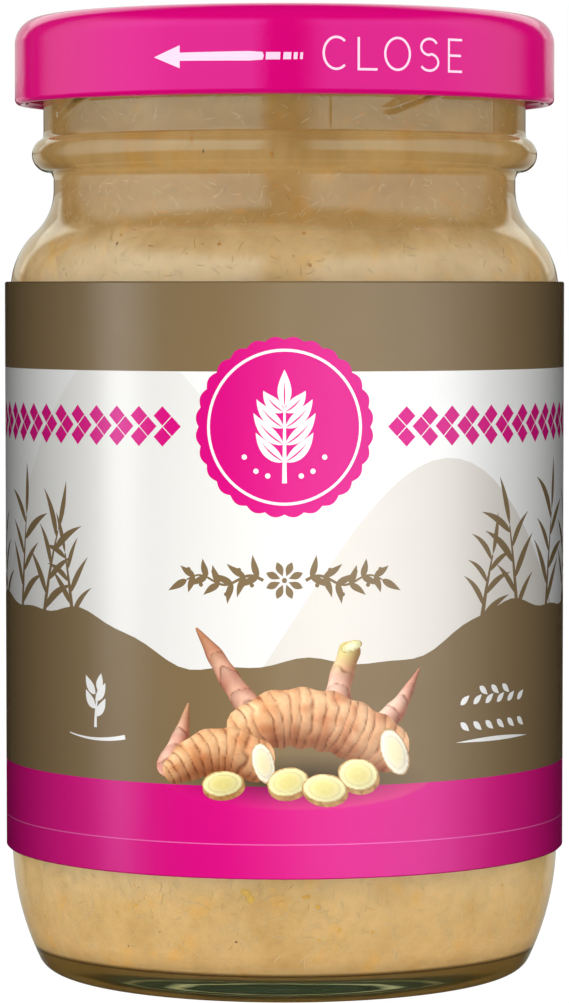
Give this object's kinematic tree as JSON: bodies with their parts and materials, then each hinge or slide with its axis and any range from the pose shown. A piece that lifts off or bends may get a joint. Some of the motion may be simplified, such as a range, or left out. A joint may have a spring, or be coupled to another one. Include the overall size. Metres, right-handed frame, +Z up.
{
  "type": "galangal paste jar",
  "caption": "Small round glass jar filled with a coarse root paste, closed by a screw-down lug lid with a gasket and wrapped in a paper label.",
  "frame": {"origin": "centre of the circle that the jar stands on, at the height of its standing ring", "axes": "+Z up along the jar's axis, the label's face towards -Y, +X to the right of the label"},
  "size_m": [0.0532, 0.0531, 0.0904],
  "materials": {
    "glass": "clear, polished, faintly green",
    "paste": "moist, fibrous, beige",
    "label": "satin printed paper",
    "lid": "glossy pink lacquer on pressed tinplate",
    "gasket": "soft white sealing compound"
  },
  "bodies": {
    "jar": {"glass_jar": "glass", "paste": "paste", "label": "label"},
    "lid_carrier": {"lid_gasket": "gasket"},
    "lid": {"lid": "lid"}
  },
  "joints": [
    {"name": "lid_rise", "type": "slide", "parent": "jar", "child": "lid_carrier", "axis": [0, 0, 1], "range_m": [0, 0.00252]},
    {"name": "lid_turn", "type": "hinge", "parent": "lid_carrier", "child": "lid", "pos_m": [0, 0, 0.0822], "axis": [0, 0, 1], "range_deg": [0, 75]}
  ],
  "couplings": [
    {"joint": "lid_rise", "follows": "lid_turn", "m_per_rad": 0.0019099}
  ]
}
